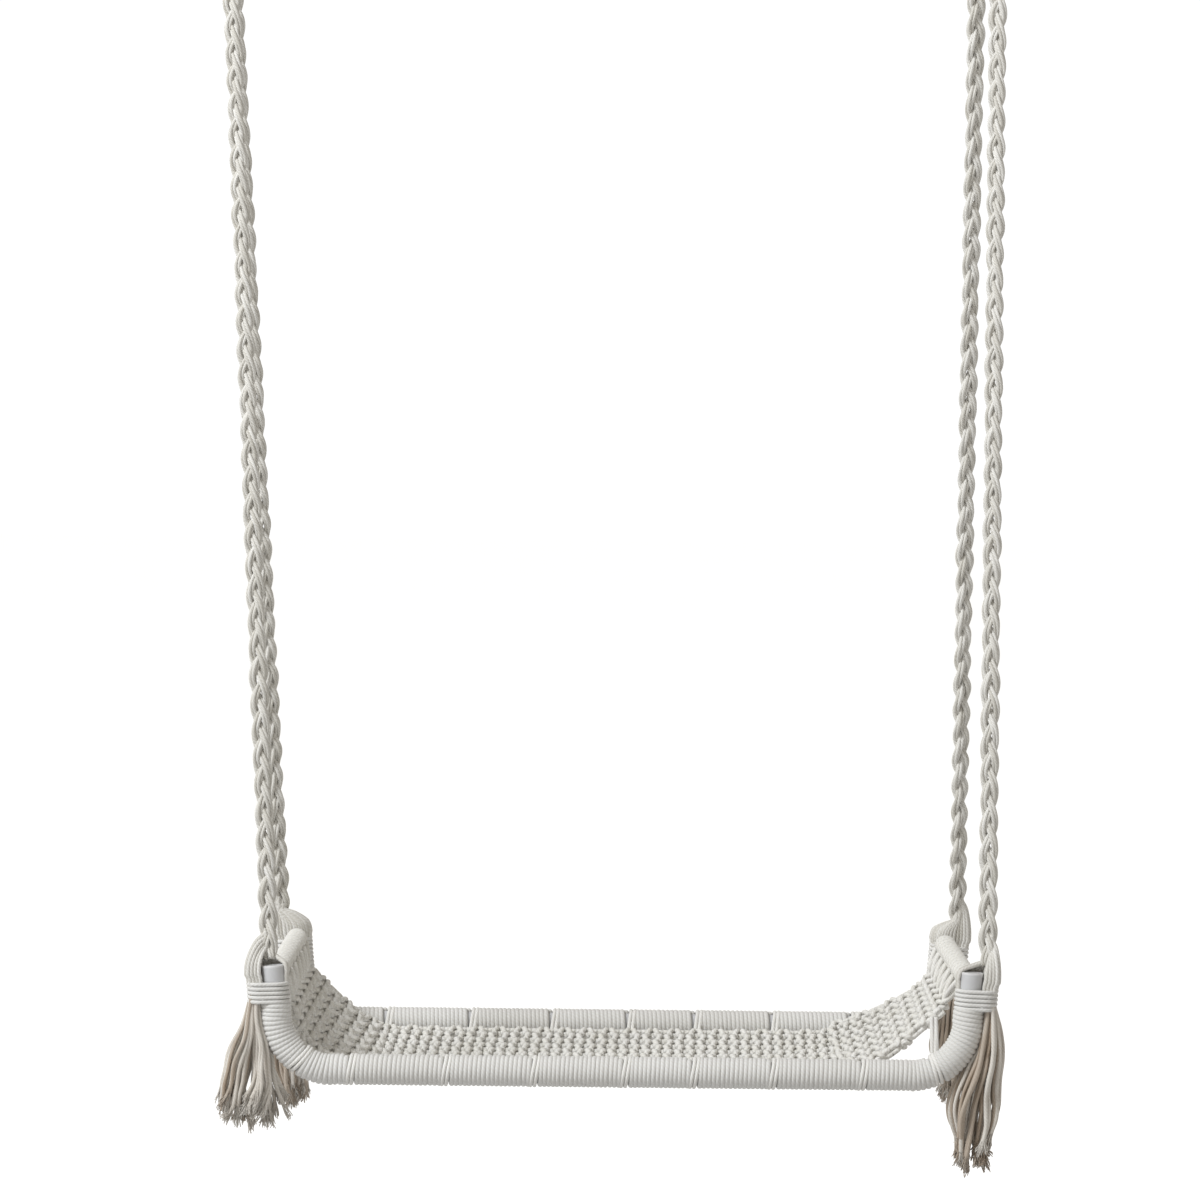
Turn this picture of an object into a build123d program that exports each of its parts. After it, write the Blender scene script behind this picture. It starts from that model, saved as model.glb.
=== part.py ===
from build123d import *
from math import acos, asin, cos, degrees, radians, sin, tan
import os

# A net swing seat on four braided ropes, two to each ring. Millimetres, +Z up.
# The origin is on the ceiling, midway between the two hooks. X runs from the left hook to
# the right one, and Y from the seat's front bar to its rear bar.
# The seat has a frame of its own: its middle, at the height of its bars' centre lines.

# Hanging points
hook_spacing = 747
seat_shift = 23.5  # the seat hangs this far to the right of the middle of its hooks
bar_drop = 1200  # ceiling down to the seat's frame

# Ceiling plates, hooks and rings
plate_length = 80
plate_width = 32
plate_thickness = 5
plate_corner = 12
screw_spacing = 56
screw_hole = 6.5
hook_wire = 7
hook_bend = 13  # radius of the round part, to the middle of the wire
neck_bend = 8
hook_end_angle = 150  # where the round part stops, from +X
shank_end = 12  # ceiling down to the end of the left hook's straight shank
ring_wire = 6
ring_radius = 30
left_ring_gap = 0.5  # free play between a ring and the wire of its hook
right_ring_gap = 2.0

# Seat frame
tube_size = 22
tube_wall = 1.5
bar_gap = 300  # between the centre lines of the front and rear bars
upright_reach = 335  # seat's middle out to the top end of an upright
upright_rise = 98  # bar's centre line up to the tube ends
upright_lean = 4  # degrees outwards
bend_radius = 55
side_bar_size = 12
side_bar_depth = 10  # below the tube ends
cap_rim = 2
cap_round = 0.8
cap_plug = 12

# Cord work
cord_size = 4
rope_size = 18
foot_in = 7  # rope's foot to the upright's centre line, towards the seat's middle
foot_play = 2  # between a rope's round foot and the cords spread below it
hood_top_radius = 8
band_top = 10  # below the tube ends
band_height = 25
band_slot = 12  # a band is this much longer than wide, for the cords that it ties down
eye_cord = 10  # half of a rope's cords, gathered where they go over the ring
eye_length = 24
eye_taper = 9  # degrees
eye_play = 0.8
collar_size = 20.4
collar_height = 22
tassel_root = (9, 13)  # half lengths of a tassel's oval under its band
tassel_hem = (32, 24)  # and of the oval at its end
tassel_play = 0.5

# Net
net_thickness = 8
net_reach = 258  # seat's middle out to the fold where the net turns up
net_half_depth = 134
net_edge_drop = 4
net_sag = 22
side_net_half_depth = 125
side_net_bend = 22
side_net_shoulder = 52  # height where a side net leaves the vertical
net_play = 0.3

# For each corner: how far outboard of the upright's top the rope's foot lies, and how far
# outboard of its root the tassel ends, with the height of its end
corners = {
    "front_left": {"x": -1, "y": -1, "foot_out": 5, "hem_out": 0, "tassel_end": -59},
    "rear_left": {"x": -1, "y": 1, "foot_out": 17, "hem_out": -16, "tassel_end": -92},
    "front_right": {"x": 1, "y": -1, "foot_out": 15.5, "hem_out": -8, "tassel_end": -95},
    "rear_right": {"x": 1, "y": 1, "foot_out": 12.5, "hem_out": -16, "tassel_end": -80},
}
foot_height = {-1: 130, 1: 123}  # of the ropes' feet, left and right
eye_offset = {-1: 7.5, 1: 10.2}  # of an eye from the middle of its ring, left and right

# Derived sizes and places
wrapped_radius = tube_size / 2 + cord_size
side_wrap_radius = side_bar_size / 2 + cord_size
half_gap = bar_gap / 2
neck_turn = acos(neck_bend / (neck_bend + hook_bend))
hook_centre_drop = (neck_bend + hook_bend) * sin(neck_turn)
swing_axis_z = -(shank_end + hook_centre_drop + hook_bend)
right_hook_lower = hook_wire / 2 + right_ring_gap + ring_wire / 2
left_ring_z = swing_axis_z + hook_wire / 2 + left_ring_gap - (ring_radius - ring_wire / 2)
right_ring_z = swing_axis_z - ring_radius
lean = radians(upright_lean)
bend_turn = 90 - upright_lean
bend_rise = bend_radius * (1 - cos(radians(bend_turn)))
upright_length = (upright_rise - bend_rise) / cos(lean)
bar_half = upright_reach - bend_radius * cos(lean) - upright_length * sin(lean)
side_bar_x = upright_reach - side_bar_depth * tan(lean)
side_bar_z = upright_rise - side_bar_depth
side_wrap_half = half_gap - wrapped_radius - 1
seat = Pos(seat_shift, 0, -bar_drop)
upright_top = Location(
    Plane((upright_reach, half_gap, upright_rise), x_dir=(cos(lean), 0, -sin(lean)),
          z_dir=(sin(lean), 0, cos(lean)))
)
ON_XZ = Rot(90, 0, 0)  # stands a drawing on the XY plane up into the XZ plane


def save(shape, name):
    """Writes one node that is placed from the ceiling."""
    shape.label = name
    export_step(shape, f"parts/{name}.step")


def save_on_seat(shape, name):
    """Writes one node that is placed in the seat's frame."""
    save(seat * shape, name)


def to_corner(shape, corner):
    """Takes a shape made for the rear right corner to another one."""
    if corner["x"] < 0:
        shape = mirror(shape, about=Plane.YZ)
    if corner["y"] < 0:
        shape = mirror(shape, about=Plane.XZ)
    return shape


def rod_along(path, radius):
    """A round bar with the path as its centre line."""
    return sweep(Plane(path @ 0, z_dir=path % 0) * Circle(radius), path=path)


# Ceiling fittings


def ceiling_plate():
    """A flat plate with two screw holes, its upper face against the ceiling."""
    outline = RectangleRounded(plate_length, plate_width, plate_corner)
    for x in (-screw_spacing / 2, screw_spacing / 2):
        outline -= Pos(x, 0) * Circle(screw_hole / 2)
    return extrude(outline, -plate_thickness)


def hook(shank_bottom):
    """A round hook in the XZ plane, its lowest point straight below its shank."""
    neck_angle = degrees(neck_turn)
    shank = Line((0, -plate_thickness), (0, -shank_bottom))
    neck = JernArc(shank @ 1, shank % 1, neck_bend, neck_angle)
    round_part = JernArc(neck @ 1, neck % 1, hook_bend, hook_end_angle - 360 - neck_angle)
    return rod_along(ON_XZ * Wire([shank, neck, round_part]), hook_wire / 2)


def ring(play=0):
    """A ring in the YZ plane; play makes its wire thicker, for cutting clearance."""
    return Rot(0, 90, 0) * Torus(ring_radius, ring_wire / 2 + play)


def place_ring(shape, side):
    """Puts a ring's shape on its hook: along Y on the left, and along X on the right."""
    x = side * hook_spacing / 2
    if side < 0:
        return Pos(x, 0, left_ring_z) * shape
    return Pos(x, 0, right_ring_z) * Rot(0, 0, 90) * shape


# Seat frame


def bar_path(cut=0):
    """The centre line of a bar with its two uprights, each shortened by cut at its top."""
    top = Vector(-upright_reach, upright_rise)
    down = Vector(sin(lean), -cos(lean))
    left = Line(top + down * cut, top + down * upright_length)
    left_bend = JernArc(left @ 1, left % 1, bend_radius, bend_turn)
    bar = Line(left_bend @ 1, (bar_half, 0))
    right_bend = JernArc(bar @ 1, bar % 1, bend_radius, bend_turn)
    right = Line(right_bend @ 1, right_bend @ 1 + (right_bend % 1) * (upright_length - cut))
    return ON_XZ * Wire([left, left_bend, bar, right_bend, right])


def bar_tube():
    """The bent tube, open at both ends."""
    bore = tube_size / 2 - tube_wall
    return rod_along(bar_path(), tube_size / 2) - rod_along(bar_path(), bore)


def bar_wrap():
    """The layer of cord wound on a bar, from under one band to under the other."""
    path = bar_path(band_top + band_height)
    return rod_along(path, wrapped_radius) - rod_along(path, tube_size / 2)


def upright_post():
    """The outside of the rear right upright, run on past the tube's end."""
    above = foot_height[-1]
    below = band_top + 2 * band_height
    return upright_top * Pos(0, 0, (above - below) / 2) * Cylinder(tube_size / 2, above + below)


def side_rod(radius, length):
    """A bar from front to rear on the right side bar's line."""
    return Pos(side_bar_x, 0, side_bar_z) * Rot(90, 0, 0) * Cylinder(radius, length)


def side_bar():
    """The bar that joins the two right-hand uprights, coped to fit them."""
    rod = side_rod(side_bar_size / 2, bar_gap)
    post = upright_post()
    return rod - post - mirror(post, about=Plane.XZ)


def side_wrap():
    """The net's cords where they are wound round the right side bar."""
    length = 2 * side_wrap_half
    return side_rod(side_wrap_radius, length) - side_rod(side_bar_size / 2, length)


def end_cap():
    """A cap with its plug inside the tube and its rim on the tube's end."""
    rim = Pos(0, 0, cap_rim / 2) * Cylinder(tube_size / 2, cap_rim)
    rim = fillet(rim.edges().sort_by(Axis.Z)[-1], cap_round)
    plug = Pos(0, 0, -cap_plug / 2) * Cylinder(tube_size / 2 - tube_wall, cap_plug)
    return upright_top * (rim + plug)


# Cord work at the corners, made for the rear right one


def band_oval(radius):
    """The outline round an upright and the cords on its outboard side."""
    return Pos(band_slot / 2, 0) * SlotCenterToCenter(band_slot, 2 * radius)


def band():
    """The tight winding that ties a rope's cords to the upright."""
    outline = band_oval(wrapped_radius) - band_oval(tube_size / 2)
    solid = Pos(0, 0, -band_top) * extrude(outline, -band_height)
    return upright_top * solid - side_rod(side_bar_size / 2, bar_gap)


def hood(foot_out, foot_z):
    """The rope's cords spread from its foot over the tube's end and down under the band."""
    tied = Pos(0, 0, -band_top) * extrude(band_oval(tube_size / 2), -band_height)
    below = upright_top * Pos(0, 0, -band_top) * band_oval(wrapped_radius)
    top_z = foot_z - rope_size / 2 - foot_play
    top_at = Pos(upright_reach + foot_out, half_gap - foot_in, top_z)
    above = top_at * SlotCenterToCenter(1, 2 * hood_top_radius)
    cords = upright_top * tied + loft([below.face(), above.face()])
    return cords - upright_post() - side_rod(side_bar_size / 2, bar_gap)


def tassel(hem_out, end_z):
    """The cords' free ends, hanging beside the upright from under the band."""
    root_at = Pos(wrapped_radius + tassel_play + tassel_root[0], 0, -band_top - band_height)
    root = upright_top * root_at * Ellipse(*tassel_root)
    hem = Pos(root.center().X + hem_out, half_gap, end_z) * Ellipse(*tassel_hem)
    wound_bar = Pos(0, half_gap, 0) * rod_along(bar_path(), wrapped_radius + tassel_play)
    return loft([root.face(), hem.face()]) - wound_bar


# Ropes


def rope_line(corner):
    """The middle of a rope's eye, on its ring's wire, and the middle of its round foot."""
    side = corner["x"]
    offset = eye_offset[side]
    rise = ring_radius * cos(asin(offset / ring_radius))
    if side < 0:
        eye = Vector(-hook_spacing / 2, corner["y"] * offset, left_ring_z - rise)
    else:
        eye = Vector(hook_spacing / 2 - corner["y"] * offset, 0, right_ring_z - rise)
    foot_x = seat_shift + side * (upright_reach + corner["foot_out"])
    foot_y = corner["y"] * (half_gap - foot_in)
    return eye, Vector(foot_x, foot_y, foot_height[side] - bar_drop)


def rope_frame(corner):
    """A frame at a rope's eye, +Z up the rope and X across the eye's two legs."""
    eye, foot = rope_line(corner)
    across = (1, 0, 0) if corner["x"] < 0 else (0, 1, 0)
    return Location(Plane(eye, x_dir=across, z_dir=eye - foot))


def rope_eye(corner):
    """Half of the rope's cords, up over the ring and down again into the collar."""
    bend = (ring_wire + eye_cord) / 2 + eye_play
    taper = radians(eye_taper)
    knee = Vector(bend * cos(taper), -bend * sin(taper))
    leg = Vector(sin(taper), cos(taper)) * eye_length
    first = Line(knee - leg, knee)
    over = JernArc(knee, first % 1, bend, 180 + 2 * eye_taper)
    last = Line(over @ 1, over @ 1 + (over % 1) * eye_length)
    loop = rod_along(ON_XZ * Wire([first, over, last]), eye_cord / 2)
    loop = split(loop, Plane((0, 0, -eye_length)), keep=Keep.TOP)
    return rope_frame(corner) * loop - place_ring(ring(eye_play), corner["x"])


def rope_collar(corner):
    """The winding that closes a rope's eye."""
    middle = -eye_length - collar_height / 2
    return rope_frame(corner) * Pos(0, 0, middle) * Cylinder(collar_size / 2, collar_height)


def rope(corner):
    """The braid, from its collar down to a round foot over the upright's end."""
    eye, foot = rope_line(corner)
    top = -eye_length - collar_height
    bottom = -(eye - foot).length
    braid = Pos(0, 0, (top + bottom) / 2) * Cylinder(rope_size / 2, top - bottom)
    return rope_frame(corner) * (braid + Pos(0, 0, bottom) * Sphere(rope_size / 2))


# Net


def seat_net():
    """The flat part of the net, sagging between the front and rear bars."""
    half = net_thickness / 2
    outline = []
    for z in (half - net_edge_drop, -half - net_edge_drop):
        ends = (-net_half_depth, z), (0, z - net_sag), (net_half_depth, z)
        outline.append(ThreePointArc(*ends))
    top, bottom = outline
    face = make_face([top, bottom, Line(top @ 0, bottom @ 0), Line(top @ 1, bottom @ 1)])
    section = Plane.YZ.offset(-net_reach) * face
    return extrude(section, 2 * net_reach)


def side_net():
    """The net's right-hand rise, from the fold up to the side bar."""
    top_x = side_bar_x - side_wrap_radius - net_play - net_thickness / 2
    fold = (net_reach + net_thickness, net_thickness / 2 - net_edge_drop)
    points = [(top_x, side_bar_z), (top_x, side_net_shoulder), fold]
    middle = FilletPolyline(*points, radius=side_net_bend)
    strip = make_face(offset(middle, net_thickness / 2).edges())
    return extrude(ON_XZ * strip, side_net_half_depth, both=True)


os.makedirs("parts", exist_ok=True)

save(Pos(-hook_spacing / 2, 0) * ceiling_plate(), "left_ceiling_plate")
save(Pos(hook_spacing / 2, 0) * Rot(0, 0, 90) * ceiling_plate(), "right_ceiling_plate")
save(Pos(-hook_spacing / 2, 0) * hook(shank_end), "left_hook")
right_hook = Rot(0, 0, 90) * hook(shank_end + right_hook_lower)
save(Pos(hook_spacing / 2, 0) * right_hook, "right_hook")
save(place_ring(ring(), -1), "left_ring")
save(place_ring(ring(), 1), "right_ring")

for end, y in (("front", -half_gap), ("rear", half_gap)):
    save_on_seat(Pos(0, y, 0) * bar_tube(), f"{end}_bar_tube")
    save_on_seat(Pos(0, y, 0) * bar_wrap(), f"{end}_bar_wrap")

for side, x in (("left", -1), ("right", 1)):
    at = {"x": x, "y": 1}
    save_on_seat(to_corner(side_bar(), at), f"{side}_side_bar")
    save_on_seat(to_corner(side_wrap(), at), f"{side}_side_wrap")
    save_on_seat(to_corner(side_net(), at), f"{side}_side_net")

save_on_seat(seat_net(), "seat_net")

for name, corner in corners.items():
    foot_z = foot_height[corner["x"]]
    save_on_seat(to_corner(end_cap(), corner), f"{name}_cap")
    save_on_seat(to_corner(band(), corner), f"{name}_band")
    save_on_seat(to_corner(hood(corner["foot_out"], foot_z), corner), f"{name}_hood")
    loose_ends = tassel(corner["hem_out"], corner["tassel_end"])
    save_on_seat(to_corner(loose_ends, corner), f"{name}_tassel")
    save(rope(corner), f"{name}_rope")
    save(rope_collar(corner), f"{name}_collar")
    save(rope_eye(corner), f"{name}_eye")
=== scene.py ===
from math import acos, asin, cos, pi, radians, sin, tan

import bpy
import numpy as np
from mathutils import Matrix, Vector


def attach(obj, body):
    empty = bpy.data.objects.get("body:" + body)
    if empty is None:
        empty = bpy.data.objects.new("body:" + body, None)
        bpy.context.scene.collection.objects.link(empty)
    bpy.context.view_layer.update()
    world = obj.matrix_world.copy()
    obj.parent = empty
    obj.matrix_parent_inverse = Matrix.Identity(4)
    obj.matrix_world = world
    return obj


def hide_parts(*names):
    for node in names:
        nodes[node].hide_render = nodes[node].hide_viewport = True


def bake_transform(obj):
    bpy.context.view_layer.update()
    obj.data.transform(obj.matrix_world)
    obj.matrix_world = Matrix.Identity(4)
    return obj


# The looks of a net swing seat on four braided ropes. Metres, in the frame of its CAD model:
# the origin is on the ceiling, midway between the hooks, with +Z up. X runs from the left
# hook to the right one, and Y from the front bar to the rear bar.
# The seat has a frame of its own, with its origin midway between its bars.

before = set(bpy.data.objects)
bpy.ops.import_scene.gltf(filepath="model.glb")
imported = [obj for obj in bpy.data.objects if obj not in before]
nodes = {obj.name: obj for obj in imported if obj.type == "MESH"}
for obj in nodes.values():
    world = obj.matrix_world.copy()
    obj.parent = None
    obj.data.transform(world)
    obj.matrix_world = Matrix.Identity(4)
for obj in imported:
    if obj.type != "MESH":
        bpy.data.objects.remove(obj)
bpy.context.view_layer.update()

# Hanging points, as in the CAD model
hook_spacing = 0.747
seat_origin = np.array((0.0235, 0, -1.2))
hook_wire = 0.007
hook_bend = 0.013
neck_bend = 0.008
shank_end = 0.012
ring_wire = 0.006
ring_radius = 0.030
left_ring_gap = 0.0005
eye_offset = {-1: 0.0075, 1: 0.0102}
foot_height = {-1: 0.130, 1: 0.123}
foot_in = 0.007

# Seat frame, as in the CAD model
tube_radius = 0.011
half_gap = 0.150
upright_reach = 0.335
upright_rise = 0.098
lean = radians(4)
bend_radius = 0.055
side_bar_radius = 0.006
side_bar_depth = 0.010

# Cord work
cord = 0.004
rope_size = 0.018
rope_cord = 0.0035
eye_length = 0.024
collar_height = 0.022
collar_size = 0.0204
band_top = 0.010
band_height = 0.025
band_slot = 0.012
wrap_pitch = 0.0043
wrap_swell = 0.63  # radius of a bar's winding cord, as a share of its pitch
wrap_inset = 0.0005  # how much deeper that cord lies, because it is pressed wider
tie_gap = 0.0074  # room for a tie between two lengths of winding
wound_radius = tube_radius + cord / 2
plait_pitch = 0.0265  # from one V of a plait to the next
plait_reach = 0.0054  # how far a strand moves to each side
plait_rise = 0.0029  # and how far in and out
strand_circle = 0.0022  # middle of a strand to the middles of its cords
tassel_cords = 54
tassel_root = (0.009, 0.013)
tassel_hem = (0.032, 0.024)

# Net
net_cord = 0.0052
net_half_depth = 0.127
net_side_inset = 0.008  # how much nearer to the middle its edges are on its rises
net_rows = 12  # half steps from front to rear
net_step = 0.0117  # half of a mesh, from side to side
net_side_step = 0.0165
net_fringe = 0.032  # straight cords between a side bar and the first knots
net_sag = 0.009
net_edge_drop = 0.007

# For each corner: how far out from the upright the rope's foot is, how high its cords bend over
# the tube's end, and how far its plait is turned from the front; how far out and how high the
# tassel ends, how much it closes in there and swells halfway, and what share of its cords is
# painted dark as shade, more of it on the corners that hang in shadow
corners = {
    "front_left": {
        "x": -1, "y": -1, "foot_out": 0.005, "crown": 0.0070, "facing": 0.3,
        "hem_out": -0.002, "tassel_end": -0.059, "pinch": 0.0, "belly": 0.2, "painted_shade": 0.15,
    },
    "rear_left": {
        "x": -1, "y": 1, "foot_out": 0.017, "crown": 0.0150, "facing": -0.2,
        "hem_out": -0.016, "tassel_end": -0.092, "pinch": 0.5, "belly": 0.2, "painted_shade": 0.8,
    },
    "front_right": {
        "x": 1, "y": -1, "foot_out": 0.0155, "crown": 0.0080, "facing": 0.4,
        "hem_out": -0.022, "tassel_end": -0.095, "pinch": 0.3, "belly": 0.4, "painted_shade": 0.6,
    },
    "rear_right": {
        "x": 1, "y": 1, "foot_out": 0.0125, "crown": 0.0110, "facing": -0.3,
        "hem_out": -0.016, "tassel_end": -0.080, "pinch": 0.5, "belly": 0.2, "painted_shade": 0.8,
    },
}
# Where the net is tied to each bar, from the middle of the seat
ties = {
    "front": (-0.309, -0.260, -0.169, -0.084, 0.003, 0.069, 0.145, 0.231, 0.301),
    "rear": (-0.240, -0.153, -0.069, 0.010, 0.079, 0.159, 0.240),
}

random = np.random.default_rng(632)


# Lines


def unit(vector):
    """The vector or vectors at length 1."""
    vector = np.asarray(vector, float)
    return vector / np.linalg.norm(vector, axis=-1, keepdims=True)


def lengths(line):
    """How far along a line each of its points is."""
    steps = np.linalg.norm(np.diff(line, axis=0), axis=1)
    return np.concatenate([[0], np.cumsum(steps)])


def spaced(line, step):
    """The same line with its points evenly spaced, about a step apart."""
    line = np.asarray(line, float)
    run = lengths(line)
    at = np.linspace(0, run[-1], max(2, round(run[-1] / step) + 1))
    return np.column_stack([np.interp(at, run, line[:, k]) for k in range(3)])


def smooth(points, step=0.002):
    """A smooth line through some points, evenly spaced."""
    points = np.asarray(points, float)
    padded = np.vstack([2 * points[0] - points[1], points, 2 * points[-1] - points[-2]])
    t = np.linspace(0, 1, 9)[:-1, None]
    spans = []
    for a, b, c, d in zip(padded, padded[1:], padded[2:], padded[3:]):
        curve = 2 * b + (c - a) * t + (2 * a - 5 * b + 4 * c - d) * t**2
        spans.append((curve + (3 * b - a - 3 * c + d) * t**3) / 2)
    return spaced(np.vstack([*spans, points[-1:]]), step)


def axes_along(line):
    """Two directions across a line at each of its points, which turn as little as they can."""
    tangents = unit(np.gradient(line, axis=0))
    start = np.eye(3)[np.argmin(np.abs(tangents[0]))]
    across = [unit(np.cross(tangents[0], start))]
    for tangent in tangents[1:]:
        last = across[-1] - tangent * (across[-1] @ tangent)
        across.append(last / np.sqrt(last @ last))
    across = np.array(across)
    return across, np.cross(tangents, across)


# Meshes


class CordWork:
    """Round cords that become one mesh, with a UV map of turns and metres along each one."""

    def __init__(self):
        self.points = []
        self.quads = []
        self.caps = []
        self.turns = []
        self.metres = []
        self.tones = []
        self.count = 0

    def add(self, line, radius, sides=8, tone=None):
        """One cord along a line; its radius is a number, or one for each point."""
        n = len(line)
        first, second = axes_along(line)
        angle = 2 * pi * np.arange(sides) / sides
        ring = first[:, None] * np.cos(angle)[:, None] + second[:, None] * np.sin(angle)[:, None]
        radius = np.broadcast_to(radius, n)[:, None, None]
        self.points.append((line[:, None] + ring * radius).reshape(-1, 3))
        i, j = np.meshgrid(np.arange(n - 1), np.arange(sides), indexing="ij")
        after = (j + 1) % sides
        here, ahead = i * sides, (i + 1) * sides
        quad = np.stack((here + j, here + after, ahead + after, ahead + j), -1)
        self.quads.append(self.count + quad.reshape(-1, 4))
        self.turns.append(np.stack((j, j + 1, j + 1, j), -1).reshape(-1, 4) / sides)
        run = lengths(line) + random.uniform(0, 1)
        self.metres.append(run[np.stack((i, i, i + 1, i + 1), -1)].reshape(-1, 4))
        self.caps.append(self.count + np.arange(sides)[::-1])
        self.caps.append(self.count + (n - 1) * sides + np.arange(sides))
        if tone is None:
            tone = random.uniform(0, 1)
        self.tones.append(np.full(n * sides, tone))
        self.count += n * sides

    def piece(self, name, material, slot):
        """The mesh object with all the cords so far."""
        mesh = bpy.data.meshes.new(name)
        faces = np.vstack(self.quads).tolist() + [cap.tolist() for cap in self.caps]
        mesh.from_pydata(np.vstack(self.points).tolist(), [], faces)
        turns = np.vstack(self.turns).ravel()
        metres = np.vstack(self.metres).ravel()
        blank = np.zeros(sum(len(cap) for cap in self.caps))
        uv = np.column_stack([np.append(turns, blank), np.append(metres, blank)])
        mesh.uv_layers.new(name="cord").data.foreach_set("uv", uv.ravel())
        tone = mesh.attributes.new("tone", "FLOAT", "POINT")
        tone.data.foreach_set("value", np.concatenate(self.tones))
        mesh.polygons.foreach_set("use_smooth", np.ones(len(faces), bool))
        mesh.materials.append(material)
        mesh.update()
        made = bpy.data.objects.new(name, mesh)
        bpy.context.scene.collection.objects.link(made)
        return made


# Materials


class Nodes:
    """A material's node tree, with short calls to add to it."""

    def __init__(self, name):
        self.material = bpy.data.materials.new(name)
        self.material.use_nodes = True
        self.tree = self.material.node_tree
        self.shader = self.tree.nodes["Principled BSDF"]

    def node(self, kind, inputs=(), **settings):
        """A new node with its settings, and its inputs as values or as links."""
        made = self.tree.nodes.new("ShaderNode" + kind)
        for name, value in settings.items():
            setattr(made, name, value)
        for name, value in dict(inputs).items():
            self.set(made.inputs[name], value)
        return made

    def set(self, socket, value):
        """Links a socket from another one, or gives it a value."""
        if isinstance(value, bpy.types.NodeSocket):
            self.tree.links.new(value, socket)
        else:
            socket.default_value = value

    def math(self, operation, a, b=0.0, c=0.0):
        """The result of one Math node."""
        return self.node("Math", {0: a, 1: b, 2: c}, operation=operation).outputs[0]

    def noise(self, vector, scale, detail=3.0):
        """A noise pattern from 0 to 1."""
        inputs = {"Vector": vector, "Scale": scale, "Detail": detail}
        return self.node("TexNoise", inputs).outputs[0]

    def ramp(self, value, low, high):
        """Takes a value between 0 and 1 to one between low and high."""
        inputs = {"Value": value, "To Min": low, "To Max": high}
        return self.node("MapRange", inputs).outputs[0]

    def mix(self, share, first, second, blend="MIX"):
        """Two colours, mixed."""
        made = self.node("Mix", data_type="RGBA", blend_type=blend)
        self.set(made.inputs[0], share)
        self.set(made.inputs[6], first)
        self.set(made.inputs[7], second)
        return made.outputs[2]

    def bump(self, height, strength, distance):
        """Sets the surface's bump from a height."""
        inputs = {"Height": height, "Strength": strength, "Distance": distance}
        self.set(self.shader.inputs["Normal"], self.node("Bump", inputs).outputs[0])

    def finish(self, **values):
        """Sets the shader's own inputs."""
        for name, value in values.items():
            self.set(self.shader.inputs[name.replace("_", " ")], value)
        return self.material


def cotton(name, light, dark, crease_shade=(0.84, 0.79, 0.70, 1), depth=0.0003):
    """Twisted cotton cord: plies in a spiral, fine fibres, and colour from cord to cord.

    The tint between two plies is painted shade in the creases.
    """
    plies = 3
    lay = 0.011
    m = Nodes(name)
    uv = m.node("SeparateXYZ", {0: m.node("UVMap", uv_map="cord").outputs[0]}).outputs
    place = m.node("TexCoord").outputs["Object"]
    spiral = m.math("MULTIPLY_ADD", uv[0], float(plies), m.math("DIVIDE", uv[1], lay / plies))
    ply = m.math("ABSOLUTE", m.math("SINE", m.math("MULTIPLY", spiral, pi)))
    fibre_run = m.math("MULTIPLY", uv[1], 90.0)
    fibre_place = m.node("CombineXYZ", {0: m.math("MULTIPLY", spiral, 2.2), 1: fibre_run})
    fibre = m.noise(fibre_place.outputs[0], 3.0, 4.0)
    fluff = m.noise(place, 900.0, 4.0)
    patch = m.noise(place, 34.0, 2.0)
    tone = m.node("Attribute", attribute_name="tone").outputs["Fac"]
    shade = m.math("MULTIPLY_ADD", tone, 0.6, m.math("MULTIPLY", patch, 0.4))
    colour = m.mix(shade, light, dark)
    # The creases between the plies are darkened with painted shade.
    crease_shade_mask = m.ramp(ply, 0.66, 1.0)
    colour = m.mix(1.0, colour, m.mix(crease_shade_mask, crease_shade, (1, 1, 1, 1)), "MULTIPLY")
    height = m.math("MULTIPLY_ADD", fibre, 0.25, m.math("MULTIPLY_ADD", fluff, 0.08, ply))
    m.bump(height, 0.8, depth)
    return m.finish(
        Base_Color=colour, Roughness=m.ramp(fluff, 0.74, 0.96), Sheen_Weight=0.25,
        Sheen_Roughness=0.45, Specular_IOR_Level=0.25,
    )


def paint(name, colour, roughness):
    """Smooth paint or moulded plastic, with a faint orange peel and handling marks."""
    m = Nodes(name)
    place = m.node("TexCoord").outputs["Object"]
    peel = m.noise(place, 420.0, 2.0)
    marks = m.noise(place, 55.0, 5.0)
    soiled = tuple(0.86 * c for c in colour[:3]) + (1,)
    m.bump(m.math("MULTIPLY_ADD", marks, 0.3, peel), 0.25, 0.0002)
    return m.finish(
        Base_Color=m.mix(m.ramp(marks, -0.5, 1.0), colour, soiled),
        Roughness=m.ramp(marks, roughness, roughness + 0.22), Coat_Weight=0.3,
    )


def zinc(name):
    """Zinc-plated steel, with fine drawing lines and cloudy roughness."""
    m = Nodes(name)
    place = m.node("TexCoord").outputs["Object"]
    cloud = m.noise(place, 130.0, 5.0)
    grain = m.noise(place, 1500.0, 2.0)
    m.bump(grain, 0.3, 0.0001)
    return m.finish(
        Base_Color=m.mix(cloud, (0.62, 0.62, 0.62, 1), (0.44, 0.45, 0.47, 1)),
        Metallic=1.0, Roughness=m.ramp(cloud, 0.2, 0.5),
    )


# The rope gets a darker painted shade between its plies than the other cords.
rope_cotton = cotton(
    "rope_cotton", (0.84, 0.835, 0.82, 1), (0.58, 0.56, 0.51, 1), crease_shade=(0.76, 0.71, 0.62, 1))
wound_cotton = cotton("wound_cotton", (0.76, 0.76, 0.755, 1), (0.71, 0.705, 0.69, 1), depth=0.0002)
net_cotton = cotton("net_cotton", (0.85, 0.845, 0.835, 1), (0.77, 0.76, 0.72, 1))
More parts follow.
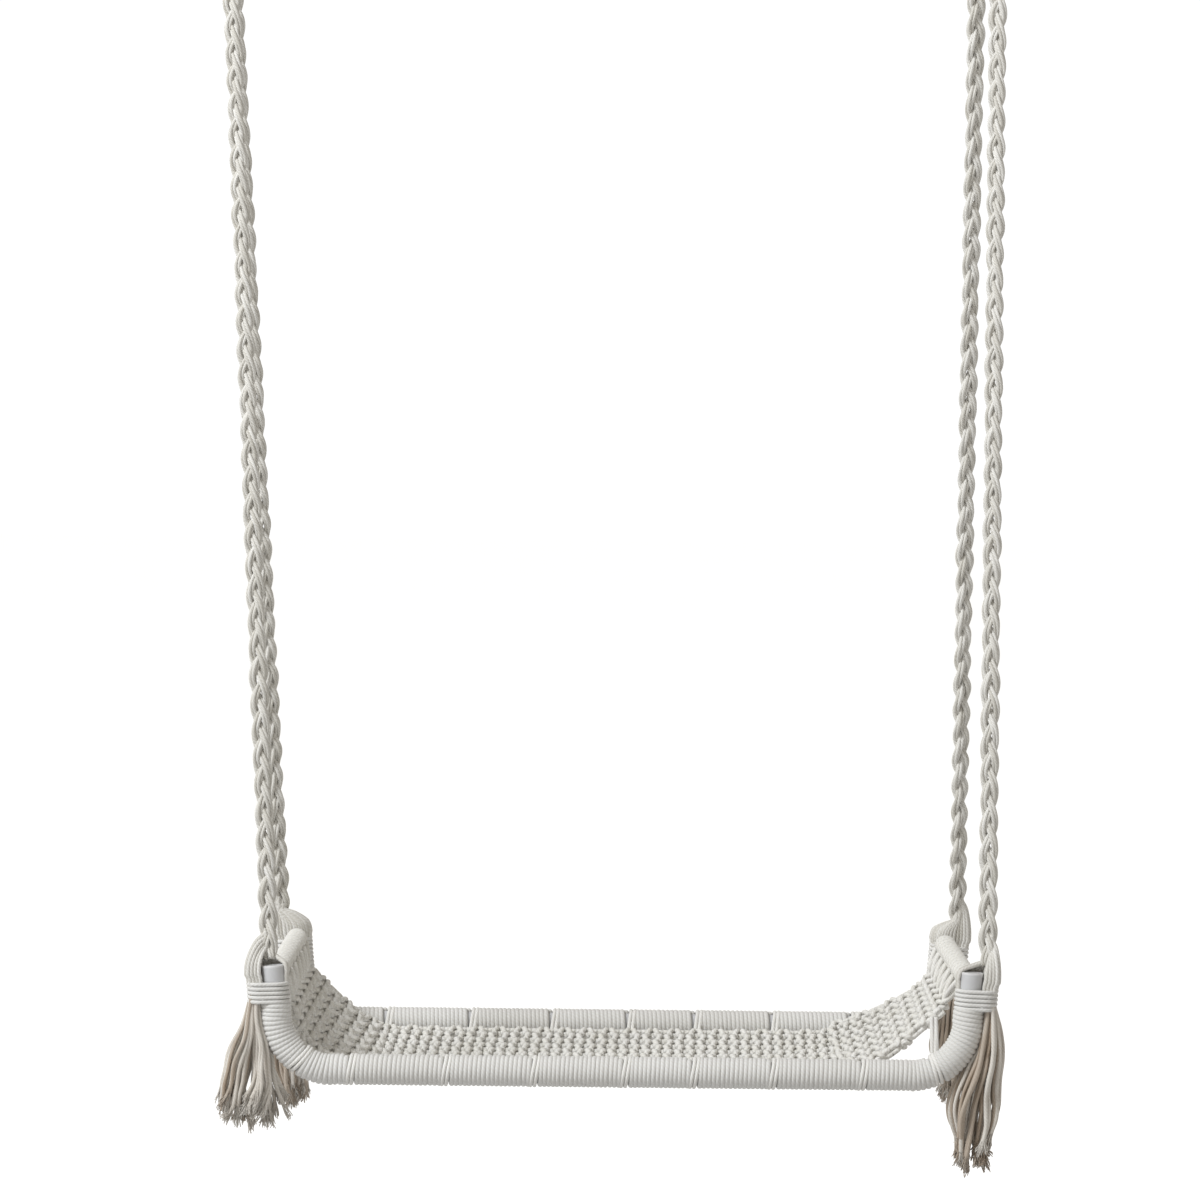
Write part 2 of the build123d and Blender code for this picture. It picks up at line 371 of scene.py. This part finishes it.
# The loose cords' dark tone is a warm dark colour used as painted shade.
loose_cotton = cotton("loose_cotton", (0.84, 0.825, 0.79, 1), (0.33, 0.24, 0.16, 1))
white_paint = paint("white_paint", (0.62, 0.625, 0.64, 1), 0.18)
white_plastic = paint("white_plastic", (0.74, 0.74, 0.75, 1), 0.3)
zinc_steel = zinc("zinc_steel")


# Camera, at the height of the ropes' lower half and square to the front bar

camera_place = (-0.0019, -3.85, -0.578)
camera_tilt = radians(2.61)
camera_roll = radians(0.62)

camera_data = bpy.data.cameras.new("camera")
camera_data.lens = 116.4
camera_data.sensor_width = 36
camera_data.clip_start = 0.1
camera_data.clip_end = 200
camera = bpy.data.objects.new("camera", camera_data)
bpy.context.scene.collection.objects.link(camera)
turn = Matrix.Rotation(pi / 2 - camera_tilt, 4, "X") @ Matrix.Rotation(camera_roll, 4, "Z")
camera.matrix_world = Matrix.Translation(camera_place) @ turn
bpy.context.scene.camera = camera


# Ropes


def rope_line(corner):
    """The middle of a rope's eye, on its ring's wire, and the middle of its round foot."""
    side, depth = corner["x"], corner["y"]
    offset = eye_offset[side]
    neck_turn = acos(neck_bend / (neck_bend + hook_bend))
    swing_axis = -(shank_end + (neck_bend + hook_bend) * sin(neck_turn) + hook_bend)
    rise = ring_radius * cos(asin(offset / ring_radius))
    if side < 0:
        ring_z = swing_axis + hook_wire / 2 + left_ring_gap - (ring_radius - ring_wire / 2)
        eye = (-hook_spacing / 2, depth * offset, ring_z - rise)
    else:
        eye = (hook_spacing / 2 - depth * offset, 0, swing_axis - ring_radius - rise)
    foot_x = side * (upright_reach + corner["foot_out"])
    foot = (foot_x, depth * (half_gap - foot_in), foot_height[side])
    return np.array(eye), np.array(foot) + seat_origin


def nurbs_line(name, points):
    """The points of a smooth spline with these control points."""
    curve = bpy.data.curves.new(name, "CURVE")
    curve.dimensions = "3D"
    spline = curve.splines.new("NURBS")
    spline.points.add(len(points) - 1)
    for control, point in zip(spline.points, points):
        control.co = (*point, 1)
    spline.order_u = 3
    spline.use_endpoint_u = True
    spline.resolution_u = 24
    guide = bpy.data.objects.new(name, curve)
    mesh = bpy.data.meshes.new_from_object(guide)
    line = np.array([v.co for v in mesh.vertices], float)
    bpy.data.objects.remove(guide)
    bpy.data.meshes.remove(mesh)
    return line


def plait(line, facing):
    """The cords of a plait of three strands, with four cords in each strand."""
    run = lengths(line)
    tangents = unit(np.gradient(line, axis=0))
    flat = unit(np.cross(np.cross(tangents, (1, 0, 0)), tangents))
    facing_out = np.cross(tangents, flat)
    turn = (facing + 0.2 * np.sin(run * 6.1 + facing))[:, None]
    side = flat * np.cos(turn) + facing_out * np.sin(turn)
    out = facing_out * np.cos(turn) - flat * np.sin(turn)
    slack = 1 + 0.06 * np.sin(run * 37 + facing) + 0.05 * np.sin(run * 83 + 2 * facing)
    gather = (0.7 + 0.3 * np.sin(np.clip((run[-1] - run) / 0.012, 0, 1) * pi / 2))[:, None]
    for strand in range(3):
        phase = 2 * pi * (run / (3 * plait_pitch) + strand / 3)
        across = (plait_reach * np.sin(phase) * slack)[:, None]
        rise = (plait_rise * np.sin(2 * phase))[:, None]
        middle = line + (side * across + out * rise) * gather
        along = unit(np.gradient(middle, axis=0))
        beside = unit(np.cross(along, out))
        above = np.cross(beside, along)
        for quarter in range(4):
            twist = (pi / 4 + quarter * pi / 2 + run * 45)[:, None]
            place = beside * np.cos(twist) + above * np.sin(twist)
            yield middle + place * strand_circle * gather


def make_rope(name, corner):
    """One braided rope, from its collar down to its foot on the upright."""
    eye, foot = rope_line(corner)
    down = unit(foot - eye)
    top = eye + down * (eye_length + collar_height)
    end = foot + down * (foot_height[corner["x"]] - upright_rise - corner["crown"])
    line = spaced(nurbs_line("route", [top, eye + down * 6 * rope_size, end]), 0.0024)
    work = CordWork()
    for strand in plait(line, corner["facing"]):
        work.add(strand, rope_cord / 2, sides=8)
    rope = work.piece(f"{name}_plait", rope_cotton, "rope_cord")
    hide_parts(f"{name}_rope")
    ropes_body = "left_ropes" if corner["x"] < 0 else "right_ropes"
    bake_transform(rope)
    return rope, line, ropes_body


def local_frame(corner):
    """A rope's eye, and its directions across the two legs, along the ring's wire and up."""
    eye, foot = rope_line(corner)
    z = unit(eye - foot)
    across = np.array((1.0, 0, 0)) if corner["x"] < 0 else np.array((0, 1.0, 0))
    x = unit(across - (across @ z) * z)
    return eye, np.array((x, np.cross(z, x), z))


def make_eye(name, corner, ropes_body):
    """Six cords folded over the ring, which give a rope its twelve."""
    eye, axes = local_frame(corner)
    work = CordWork()
    for layer in (0, 1):
        bend = ring_wire / 2 + rope_cord / 2 + 0.0003 + layer * 0.0034
        root = 0.0019 + layer * 0.0036
        for place in (-1, 0, 1):
            y = place * rope_cord * (1 - 0.04 * layer)
            leg = [(-root, 0.86 * y, -0.030), (-root * 1.1, 0.9 * y, -0.021), (-bend, y, -0.006)]
            over = [(-bend * cos(a), y, bend * sin(a)) for a in np.linspace(0, pi, 9)]
            loop = leg + over + [(-x, y_at, z) for x, y_at, z in leg[::-1]]
            work.add(smooth(np.array(loop) @ axes + eye, 0.0016), rope_cord / 2, sides=10)
    made = work.piece(f"{name}_loops", rope_cotton, "rope_cord")
    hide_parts(f"{name}_eye")
    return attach(made, ropes_body)


def make_collar(name, corner, ropes_body):
    """The winding that closes a rope's eye."""
    eye, axes = local_frame(corner)
    turns = (collar_height - cord) / (cord * 1.02)
    a = np.linspace(0, 2 * pi * turns, 200)
    radius = collar_size / 2 - cord / 2
    z = -eye_length - cord / 2 - a / (2 * pi) * cord * 1.02
    helix = np.column_stack([radius * np.cos(a), radius * np.sin(a), z])
    work = CordWork()
    work.add(helix @ axes + eye, cord / 2, sides=10)
    made = work.piece(f"{name}_whipping", wound_cotton, "rope_cord")
    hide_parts(f"{name}_collar")
    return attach(made, ropes_body)


for name, corner in corners.items():
    rope, line, ropes_body = make_rope(name, corner)
    eye_piece = make_eye(name, corner, ropes_body)
    collar_piece = make_collar(name, corner, ropes_body)


# Uprights and bars


def bar_line(start_cut, step=0.0008):
    """A bar's centre line in the XZ plane of the seat, and the directions across it upwards."""
    bend_turn = pi / 2 - lean
    straight = (upright_rise - bend_radius * (1 - cos(bend_turn))) / cos(lean)
    half = upright_reach - bend_radius * cos(lean) - straight * sin(lean)
    top = np.array((-upright_reach, 0, upright_rise))
    down = np.array((sin(lean), 0, -cos(lean)))
    upright = [top + down * start_cut, top + down * straight]
    turn = np.linspace(bend_turn, 0, 40)[1:]
    middle = np.array((-half, 0, bend_radius))
    bend = [middle + bend_radius * np.array((-sin(a), 0, -cos(a))) for a in turn]
    left = np.array(upright + bend)
    right = left[::-1] * (-1, 1, 1)
    line = spaced(np.vstack([left, right]), step)
    tangents = unit(np.gradient(line, axis=0))
    return line, np.cross(tangents, (0, 1, 0)) * (-1)


def on_bar(line, inward, at, angle, radius, depth):
    """Points on a circle round a bar; angle 0 faces the net, and a quarter turn is up."""
    run = lengths(line)
    centre = np.column_stack([np.interp(at, run, line[:, k]) for k in range(3)])
    towards = unit(np.column_stack([np.interp(at, run, inward[:, k]) for k in range(3)]))
    y = np.array((0, -depth, 0))
    ring = y * np.cos(angle)[:, None] + towards * np.sin(angle)[:, None]
    return centre + ring * np.reshape(radius, (-1, 1)) + (0, depth * half_gap, 0) + seat_origin


bar_run, bar_up = bar_line(0)
bar_long = lengths(bar_run)[-1]


def bar_at(x):
    """How far along a bar the point at x from the seat's middle is, on its lower side."""
    return float(np.interp(x, bar_run[:, 0], lengths(bar_run)))


def make_bar_wrap(end, depth, tie_places):
    """Cord wound on a bar from band to band, in lengths that leave room for the net's ties."""
    start = band_top + band_height - cord / 2
    edges = [start]
    for place in tie_places:
        edges += [place - tie_gap / 2, place + tie_gap / 2]
    edges.append(bar_long - start)
    work = CordWork()
    for low, high in zip(edges[::2], edges[1::2]):
        turns = round((high - low) / wrap_pitch)
        a = np.linspace(0, 2 * pi * turns, turns * 26)
        wobble = 0.00012 * np.sin(a * 0.37) + 0.00018 * np.sin(a * 0.113 + 1)
        at = low + (high - low) * a / a[-1] + wobble
        ends = np.clip(np.minimum(a, a[-1] - a) / (pi / 7), 0, 1)
        radius = wound_radius - wrap_inset - cord * 0.4 * (1 - ends) + 0.00006 * np.sin(a * 0.71)
        line = on_bar(bar_run, bar_up, at, a - pi / 2, radius, depth)
        ahead = on_bar(bar_run, bar_up, at + 0.001, a - pi / 2, radius, depth)
        stretch = np.linalg.norm(ahead - line, axis=1) / 0.001
        work.add(line, wrap_pitch * wrap_swell * stretch, sides=10)
    made = work.piece(f"{end}_bar_winding", wound_cotton, "wound_cord")
    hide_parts(f"{end}_bar_wrap")
    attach(made, "seat")


tie_runs = {end: [bar_at(x) for x in places] for end, places in ties.items()}
for end, depth in (("front", -1), ("rear", 1)):
    make_bar_wrap(end, depth, tie_runs[end])


# Corners


def upright_axes(corner):
    """An upright's top, and its directions outboard, towards the seat's middle and up."""
    side, depth = corner["x"], corner["y"]
    top = np.array((side * upright_reach, depth * half_gap, upright_rise)) + seat_origin
    return top, np.array([
        (side * cos(lean), 0, -sin(lean)), (0, -depth, 0), (side * sin(lean), 0, cos(lean)),
    ])


def oval(share, radius):
    """Points on the outline round an upright and the cords beside it, from its inner side."""
    straight = band_slot
    whole = 2 * straight + 2 * pi * radius
    run = np.mod(share, 1) * whole
    quarter = pi * radius / 2
    angle = np.where(run < quarter + straight, np.minimum(run, quarter) / radius, 0)
    past = run - quarter - straight
    far = (run >= quarter + straight) & (past < pi * radius)
    back = run - quarter - straight - pi * radius
    last = back >= 0
    angle = np.where(far, pi / 2 + past / radius, angle)
    angle = np.where(last, 3 * pi / 2 + np.maximum(back - straight, 0) / radius, angle)
    shift = np.clip(run - quarter, 0, straight)
    shift = np.where(far, straight, shift)
    shift = np.where(last, straight - np.clip(back, 0, straight), shift)
    return shift - radius * np.cos(angle), radius * np.sin(angle)


def make_band(name, corner):
    """The tight winding that ties a rope's cords to the upright."""
    top, axes = upright_axes(corner)
    turns = round((band_height - cord) / (cord * 1.03))
    share = np.linspace(0, turns, turns * 40)
    x, y = oval(share, wound_radius)
    z = -band_top - cord / 2 - share / turns * (band_height - cord)
    work = CordWork()
    work.add(np.column_stack([x, y, z]) @ axes + top, cord / 2, sides=9)
    made = work.piece(f"{name}_band_winding", wound_cotton, "wound_cord")
    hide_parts(f"{name}_band")
    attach(made, "seat")


def hood_cords():
    """Where each cord over an upright's end starts on the rope and goes under the band.

    Each also has its extra height. Most lie round the tube, and the rest fill the room beside
    it on its outboard side.
    """
    for turn in np.radians(np.linspace(-106, 58, 17)):
        out = np.array((sin(turn), cos(turn)))
        rim = out * (wound_radius + 0.0003) + (band_slot * max(0, sin(turn)) ** 2, 0)
        yield out * 0.0035, rim, 0
    for x in (0.0132, 0.0165, 0.0200, 0.0233, 0.0258):
        for y in np.arange(-0.0095, 0.011, 0.0038):
            if x < 0.025 or abs(y) < 0.008:
                out = unit(np.array((x - 0.006, y)))
                yield out * 0.0045, np.array((x, y)), 0.004 + 0.9 * (x - 0.008)


def make_hood(name, corner):
    """A rope's cords spread from its foot, over the tube's end and down under the band."""
    top, axes = upright_axes(corner)
    foot = (rope_line(corner)[1] - top) @ axes.T
    work = CordWork()
    for out, rim, rise in hood_cords():
        start = foot[:2] + out
        height = corner["crown"] + rise + random.uniform(-0.0008, 0.0008)
        points = [(*(foot[:2] + out * 0.6), height + 0.010), (*start, height + 0.004)]
        for share in (0.4, 0.72, 0.93):
            across = start + (rim - start) * share
            points.append((*across, height * (1 - share**2.4) + 0.001))
        inner = rim * 0.9
        points += [(*rim, -0.005), (*(rim * 0.5 + inner * 0.5), -band_top + 0.002)]
        points.append((*inner, -band_top - 0.008))
        line = smooth(np.array(points) @ axes + top, 0.0018)
        work.add(line, cord / 2 * random.uniform(0.97, 1.08))
    made = work.piece(f"{name}_spread", rope_cotton, "rope_cord")
    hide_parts(f"{name}_hood")
    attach(made, "seat")


def off_bar(points, corner):
    """Moves points out of the wound bar where they would lie in it."""
    depth = corner["y"]
    centre = bar_run + (0, depth * half_gap, 0) + seat_origin
    away = points[:, None] - centre[None]
    far = np.linalg.norm(away, axis=2)
    nearest = far.argmin(1)
    rows = np.arange(len(points))
    push = np.maximum(wound_radius + cord - far[rows, nearest], 0)
    return points + unit(away[rows, nearest]) * push[:, None]


def make_tassel(name, corner):
    """The cords' free ends, hanging loose in locks that are frayed at their tips."""
    top, axes = upright_axes(corner)
    root_z = -band_top - band_height + 0.010
    root_x = tube_radius + cord + tassel_root[0]
    wave = random.uniform(0, 2 * pi, (2, 6))
    work = CordWork()
    for k in range(tassel_cords):
        lock = k % 6
        turn = lock * radians(60) + random.uniform(-0.4, 0.4)
        share = np.sqrt((k + 0.6) / tassel_cords)
        flat = np.array((cos(turn), sin(turn))) * share
        start = np.array((
            root_x - 0.005 + flat[0] * 0.0045, flat[1] * 0.009, root_z,
        )) @ axes + top
        hem_middle = upright_reach + root_x + corner["hem_out"]
        hem = np.array((
            corner["x"] * (hem_middle + flat[0] * (tassel_hem[0] - 0.004)),
            corner["y"] * (half_gap - flat[1] * (tassel_hem[1] - 0.004)),
            corner["tassel_end"] + 0.013 + random.uniform(0, 0.020) + 0.010 * share**2,
        )) + seat_origin
        middle = np.array((corner["x"] * hem_middle, corner["y"] * half_gap, 0)) + seat_origin
        t = np.linspace(0, 1, 10)
        opening = t ** (0.7 + 0.4 * share)
        points = start + (hem - start) * np.column_stack([opening, opening, t])
        closing = corner["pinch"] * t**3 - corner["belly"] * np.sin(pi * t)
        points += (middle - points) * (1, 1, 0) * closing[:, None]
        sway = t * (0.0040 * np.sin(5.5 * t + wave[0, lock]) + 0.0018 * np.sin(13 * t + k))
        swing = t * (0.0036 * np.sin(6.5 * t + wave[1, lock]) + 0.0018 * np.sin(11 * t + 2 * k))
        points += np.column_stack([sway, swing, 0 * t])
        line = smooth(off_bar(smooth(points, 0.006), corner), 0.0022)
        thin = 1 + 0.08 * np.sin(lengths(line) * 160 + k)
        # Cords in the dark tone are painted shade, more of them on the corners that hang in
        # shadow.
        painted_shade = random.uniform(0, 1) < corner["painted_shade"]
        tone = random.uniform(0.75, 1) if painted_shade else random.uniform(0, 0.25)
        work.add(line, cord / 2 * random.uniform(0.9, 1.1) * thin, tone=tone)
        fray(work, line, tone)
    made = work.piece(f"{name}_strands", loose_cotton, "loose_cord")
    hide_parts(f"{name}_tassel")
    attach(made, "seat")


def fray(work, line, tone):
    """Thin yarns that fan out from a cord's cut end."""
    tip = line[-1]
    ahead = unit(line[-1] - line[-4])
    side, other = axes_along(line)
    bend = random.normal(0, 0.0016, 3)
    for _ in range(16):
        a = random.uniform(0, 2 * pi)
        out = side[-1] * cos(a) + other[-1] * sin(a)
        width = random.uniform(0.0003, 0.0015)
        spread = random.uniform(0.0005, 0.0035)
        long = random.uniform(0.008, 0.016)
        points = [
            tip - ahead * 0.004 + out * width,
            tip + ahead * long * 0.35 + out * (width + 0.4 * spread) + bend * 0.4,
            tip + ahead * long * 0.75 + out * (width + 0.8 * spread) + bend,
            tip + ahead * long + out * (width + spread) + bend * 1.4 + random.normal(0, 0.0008, 3),
        ]
        yarn = smooth(points, 0.002)
        work.add(yarn, np.linspace(0.0007, 0.0004, len(yarn)), sides=4, tone=tone)


for name, corner in corners.items():
    make_band(name, corner)
    make_hood(name, corner)
    make_tassel(name, corner)


# Side bars


def make_side_winding(side, x):
    """The net's cords where they are knotted round a side bar, four turns to a knot."""
    middle = np.array((
        x * (upright_reach - side_bar_depth * tan(lean)), 0, upright_rise - side_bar_depth,
    )) + seat_origin
    half = half_gap - tube_radius - cord - 0.003
    turns = round(2 * half / (cord * 1.05))
    a = np.linspace(0, 2 * pi * turns, turns * 22)
    bulge = np.abs(np.sin(a / 8))
    radius = side_bar_radius + cord * (0.22 + 0.5 * bulge)
    y = -half + 2 * half * a / a[-1] + 0.0006 * np.sin(a / 4)
    work = CordWork()
    work.add(np.column_stack([radius * np.cos(a), y, radius * np.sin(a)]) + middle, cord / 2)
    made = work.piece(f"{side}_side_winding", net_cotton, "net_cord")
    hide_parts(f"{side}_side_wrap")
    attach(made, "seat")


for side, x in (("left", -1), ("right", 1)):
    make_side_winding(side, x)


# Net

# Its front edge and its rear edge, each from side bar to side bar
net_edges = [
    smooth([
        (-0.3262, 0, 0.086), (-0.3228, 0, 0.068), (-0.3180, 0, 0.052), (-0.3125, 0, 0.038),
        (-0.3065, 0, 0.025), (-0.296, 0, 0.013), (-0.276, 0, 0.005), (-0.246, 0, -0.002),
        (-0.2, 0, -net_edge_drop), (0.18, 0, -net_edge_drop), (0.2225, 0, 0.001),
        (0.2475, 0, 0.011), (0.266, 0, 0.022), (0.293, 0, 0.045), (0.309, 0, 0.058),
        (0.3186, 0, 0.074), (0.3262, 0, 0.086),
    ]),
    smooth([
        (-0.3262, 0, 0.086), (-0.3240, 0, 0.073), (-0.3174, 0, 0.056), (-0.2924, 0, 0.030),
        (-0.264, 0, 0.006), (-0.242, 0, -0.003), (-0.2, 0, -net_edge_drop),
        (0.18, 0, -net_edge_drop), (0.2176, 0, 0.001), (0.2456, 0, 0.011), (0.2826, 0, 0.029),
        (0.312, 0, 0.048), (0.3195, 0, 0.070), (0.3262, 0, 0.086),
    ]),
]
net_shares = [lengths(edge) / lengths(edge)[-1] for edge in net_edges]
net_long = lengths(net_edges[0])[-1]
net_middle = net_long / 2
flat_half = 0.235  # seat's middle out to where the meshes grow longer
rise_start = 0.258  # and to where the net turns up


def net_columns():
    """Places along the net of its columns of knots, further apart towards the side bars."""
    at = [0]
    while at[-1] < net_middle - net_fringe:
        grow = np.clip((at[-1] - flat_half) / 0.03, 0, 1)
        at.append(at[-1] + net_step + (net_side_step - net_step) * grow)
    half = np.array(at) * (net_middle - net_fringe) / at[-1]
    half = np.append(half, net_middle)
    return np.concatenate([-half[:0:-1], half]) + net_middle


def net_point(run, share):
    """Points of the net; share goes from -1 at the front edge to 1 at the rear edge."""
    part = run / net_long
    x, z = (
        np.interp(part, net_shares[0], net_edges[0][:, k]) * (1 - share) / 2
        + np.interp(part, net_shares[1], net_edges[1][:, k]) * (1 + share) / 2
        for k in (0, 2)
    )
    outside = np.clip((np.abs(run - net_middle) - rise_start) / 0.045, 0, 1)
    half = net_half_depth - net_side_inset * np.sin(outside * pi / 2)
    fold = np.clip((np.abs(run - net_middle) - 0.16) / 0.16, 0, 1)
    sag = net_sag * (1 - fold * fold * (3 - 2 * fold))
    return np.stack([x, share * half, z - sag * (1 - share**2)], -1) + seat_origin


def net_place(run, share, local):
    """Local points by a knot, along and across the net and out of it, taken to the seat."""
    local = np.asarray(local, float)
    runs = np.clip(run + local[:, 0], 0, net_long)
    shares = share + local[:, 1] / net_half_depth
    small = 0.001
    along = net_point(np.clip(runs + small, 0, net_long), shares) - net_point(
        np.clip(runs - small, 0, net_long), shares)
    across = net_point(runs, shares + 0.01) - net_point(runs, shares - 0.01)
    normal = unit(np.cross(along, across))
    return net_point(runs, shares) + normal * local[:, 2:3]


def knot_lines(legs):
    """A square knot: two cords that run through, and one cord over and one under them.

    legs are the four legs' ends from the knot, along and across the net: before and after
    it on the lower row, and before and after it on the upper row.
    """
    c = net_cord
    for (before, after), across in ((legs[:2], -1), (legs[2:], 1)):
        before, after = np.array(before), np.array(after)
        yield [
            (*before, -c / 2), (*(before / 2), -c / 2), (-c, across * 0.45 * c, 0),
            (c, across * 0.45 * c, 0), (*(after / 2), c / 2), (*after, c / 2),
        ]
        yield [
            (*before, c / 2), (*(before / 2), c / 2),
            (-1.2 * c, across * 1.2 * c, -across * 0.2 * c), (-0.6 * c, 0, -across * c),
            (-0.2 * c, -across * 1.25 * c, -across * 0.05 * c),
            (0.2 * c, -across * 1.25 * c, -across * 0.05 * c),
            (0.6 * c, 0, -across * c), (1.2 * c, across * 1.2 * c, -across * 0.2 * c),
            (*(after / 2), -c / 2), (*after, -c / 2),
        ]


def net_part(x):
    """The stretch of net that a knot this far from the seat's middle belongs to."""
    if abs(x) < rise_start:
        return "seat_net"
    return "left_side_net" if x < 0 else "right_side_net"


def make_net():
    """The three stretches of knotted net: the seat and its two rises to the side bars."""
    columns = net_columns()
    last = len(columns) - 1
    row = 2 * net_half_depth / net_rows
    works = {"left_side_net": CordWork(), "seat_net": CordWork(), "right_side_net": CordWork()}
    for i, run in enumerate(columns[1:-1], 1):
        work = works[net_part(run - net_middle)]
        for j in range(i % 2, net_rows + 1, 2):
            legs = []
            for edge, across in ((0, -1), (net_rows, 1)):
                for beyond in (i - 1, i + 1):
                    half = 1.0 if beyond in (0, last) else 0.5
                    reach = columns[beyond] - run
                    if j == edge:
                        legs.append((reach * min(1, 2 * half), across * 0.001))
                    else:
                        legs.append((reach * half, across * row * half))
            share = -1 + 2 * j / net_rows
            for points in knot_lines(legs):
                line = smooth(net_place(run, share, points), 0.0032)
                work.add(line, net_cord / 2, sides=7)
    return works


def add_tie(work, depth, at, slant=-0.0024):
    """Two cords from the net's edge round a bar and back."""
    x = float(np.interp(at, lengths(bar_run), bar_run[:, 0]))
    edge = net_edges[0] if depth < 0 else net_edges[1]
    z = float(np.interp(x, edge[:, 0], edge[:, 2]))
    knot = np.array((x, depth * (net_half_depth + 0.001), z)) + seat_origin
    for beside in (-0.0020, 0.0020):
        a = np.linspace(0.25, 2 * pi - 0.25, 15)
        runs = at + wrap_pitch / 4 + beside + slant * np.sin(a)
        loop = on_bar(bar_run, bar_up, runs, a, wound_radius + 0.0006, depth)
        start = knot + (beside, 0, 0.002)
        finish = knot + (beside, 0, -0.002)
        work.add(smooth(np.vstack([start, loop, finish]), 0.002), cord / 2, tone=0)


works = make_net()
for end, depth in (("front", -1), ("rear", 1)):
    for at in tie_runs[end]:
        add_tie(works["seat_net"], depth, at)

for part, work in works.items():
    made = work.piece(f"{part}_cords", net_cotton, "net_cord")
    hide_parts(part)
    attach(made, "seat")


# Tubes, caps and metalwork

finishes = {"tube": white_paint, "side_bar": white_paint, "cap": white_plastic}
for name, node in nodes.items():
    material = next((m for ending, m in finishes.items() if name.endswith(ending)), zinc_steel)
    for slot in node.material_slots:
        slot.material = material


# Floor and light


def area_light(name, place, aim, size, power, colour):
    """A soft square lamp at a place, turned towards another."""
    data = bpy.data.lights.new(name, "AREA")
    data.color = colour
    data.size = size
    data.energy = power
    lamp = bpy.data.objects.new(name, data)
    bpy.context.scene.collection.objects.link(lamp)
    lamp.location = place
    lamp.rotation_euler = (Vector(aim) - Vector(place)).to_track_quat("-Z", "Y").to_euler()


floor_z = -1.9
floor_half = 40
floor_signs = ((-1, -1), (1, -1), (1, 1), (-1, 1))
floor_corners = [(x * floor_half, y * floor_half, floor_z) for x, y in floor_signs]
floor_mesh = bpy.data.meshes.new("floor")
floor_mesh.from_pydata(floor_corners, [], [(0, 1, 2, 3)])
floor = bpy.data.objects.new("floor", floor_mesh)
bpy.context.scene.collection.objects.link(floor)
# The floor is lit from within where it is far from a point in front of the seat
pale = Nodes("pale_floor")
place = pale.node("TexCoord").outputs["Object"]
cloud = pale.noise(place, 0.6)
from_front = pale.node("VectorMath", {0: place, 1: (0, 2.5, 0)}, operation="ADD").outputs[0]
away = pale.node("VectorMath", {0: from_front}, operation="LENGTH").outputs["Value"]
far_glow = pale.node("MapRange", {"Value": away, "From Min": 3.0, "From Max": 5.0, "To Max": 0.8})
floor_mesh.materials.append(pale.finish(
    Base_Color=pale.mix(cloud, (0.61, 0.61, 0.61, 1), (0.59, 0.59, 0.59, 1)), Roughness=0.9,
    Emission_Color=(1, 1, 1, 1), Emission_Strength=far_glow.outputs[0]))

# The sky is white to look at, and a softer and warmer light than that
area_light("key", (-3.9, -3.0, 4.0), (0, 0, -1.1), 2.2, 390, (0.95, 0.975, 1.0))
world = bpy.data.worlds.new("world")
world.use_nodes = True
sky = world.node_tree
seen = sky.nodes.new("ShaderNodeLightPath").outputs["Is Camera Ray"]
shade = sky.nodes.new("ShaderNodeMix")
shade.data_type = "RGBA"
shade.inputs[6].default_value = (0.37, 0.35, 0.315, 1)
shade.inputs[7].default_value = (1.05, 1.05, 1.05, 1)
sky.links.new(seen, shade.inputs[0])
sky.links.new(shade.outputs[2], sky.nodes["Background"].inputs["Color"])
bpy.context.scene.world = world
bpy.context.scene.view_settings.view_transform = "Standard"
